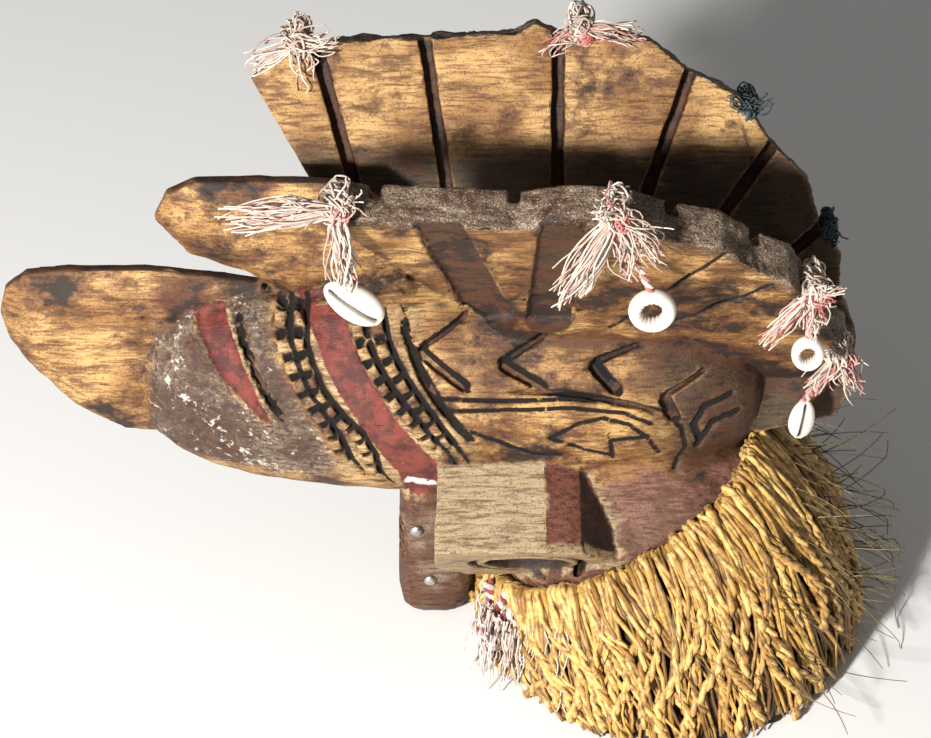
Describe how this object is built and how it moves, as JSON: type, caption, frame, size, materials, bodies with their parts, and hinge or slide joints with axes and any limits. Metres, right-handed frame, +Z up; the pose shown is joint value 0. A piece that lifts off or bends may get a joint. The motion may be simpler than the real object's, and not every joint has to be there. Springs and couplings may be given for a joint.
{
  "type": "carved wooden nimba-style headdress head",
  "caption": "Carved wooden head with a long snout, twin fan crests, tubular ears and a hollow neck that carries a raffia ruff, cord, cotton tassels and shells.",
  "frame": {"origin": "on the ground, under the middle of the whole head's box", "axes": "+Z up, -X towards the nose, +Y towards the far ear, -Y towards the near ear"},
  "size_m": [0.3346, 0.1822, 0.2439],
  "materials": {
    "carved_wood": "hand carved, waxed and scorched, with worn paint",
    "raffia": "dry plant fibre",
    "cotton_cord": "twisted red and white cotton",
    "cotton_thread": "loose cotton threads",
    "shell": "polished shell",
    "tack_metal": "worn domed tack heads"
  },
  "bodies": {
    "root": {"carved_head": "carved_wood", "raffia_ruff": "raffia", "neck_cord": "cotton_cord", "tassel_far_front": "cotton_thread", "tassel_far_middle": "cotton_thread", "tassel_far_rear": "cotton_thread", "tassel_far_nape": "cotton_thread", "tassel_near_front": "cotton_thread", "tassel_near_middle": "cotton_thread", "tassel_near_rear": "cotton_thread", "tassel_near_nape": "cotton_thread", "cowrie_near_front": "shell", "cowrie_near_middle": "shell", "cowrie_near_rear": "shell", "cowrie_near_nape": "shell", "tack_near_1": "tack_metal", "tack_near_2": "tack_metal", "tack_near_3": "tack_metal", "tack_far_1": "tack_metal", "tack_far_2": "tack_metal", "tack_far_3": "tack_metal"}
  },
  "joints": []
}
